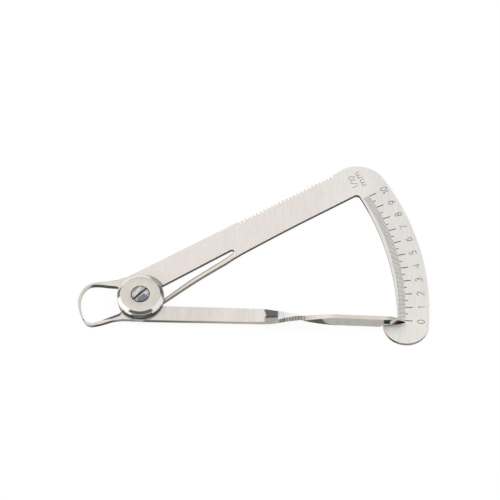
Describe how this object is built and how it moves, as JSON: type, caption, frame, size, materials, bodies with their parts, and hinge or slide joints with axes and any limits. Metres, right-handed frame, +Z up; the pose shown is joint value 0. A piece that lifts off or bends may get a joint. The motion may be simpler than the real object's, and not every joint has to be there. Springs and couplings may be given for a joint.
{
  "type": "double-ended spring caliper",
  "caption": "Flat steel double-ended caliper: sprung curved jaws beside the pivot drive a long twisted pointer over a numbered arc scale.",
  "frame": {"origin": "pivot axis, at the flat underside of the scale arm", "axes": "+X from the pivot towards the scale, about along the closed index arm; +Z up through the pivot screw; +Y completes the frame"},
  "size_m": [0.101, 0.0611, 0.0051],
  "materials": {
    "plate": "satin, fine grain across the arms",
    "pivot_metal": "satin top, polished bevel",
    "screw_metal": "polished"
  },
  "bodies": {
    "frame": {"scale_arm": "plate", "leaf_spring": "plate", "pivot_bush": "pivot_metal", "pivot_disc": "pivot_metal", "pivot_screw": "screw_metal"},
    "index": {"index_arm": "plate", "spring_pin": "pivot_metal"}
  },
  "joints": [
    {"name": "jaw_opening", "type": "hinge", "parent": "frame", "child": "index", "pos_m": [0, 0, 0], "axis": [0, 0, 1], "range_deg": [0, 33.4], "stiffness_Nm_per_rad": 0.034, "springref_deg": -17.19, "deforming": ["leaf_spring"]}
  ]
}
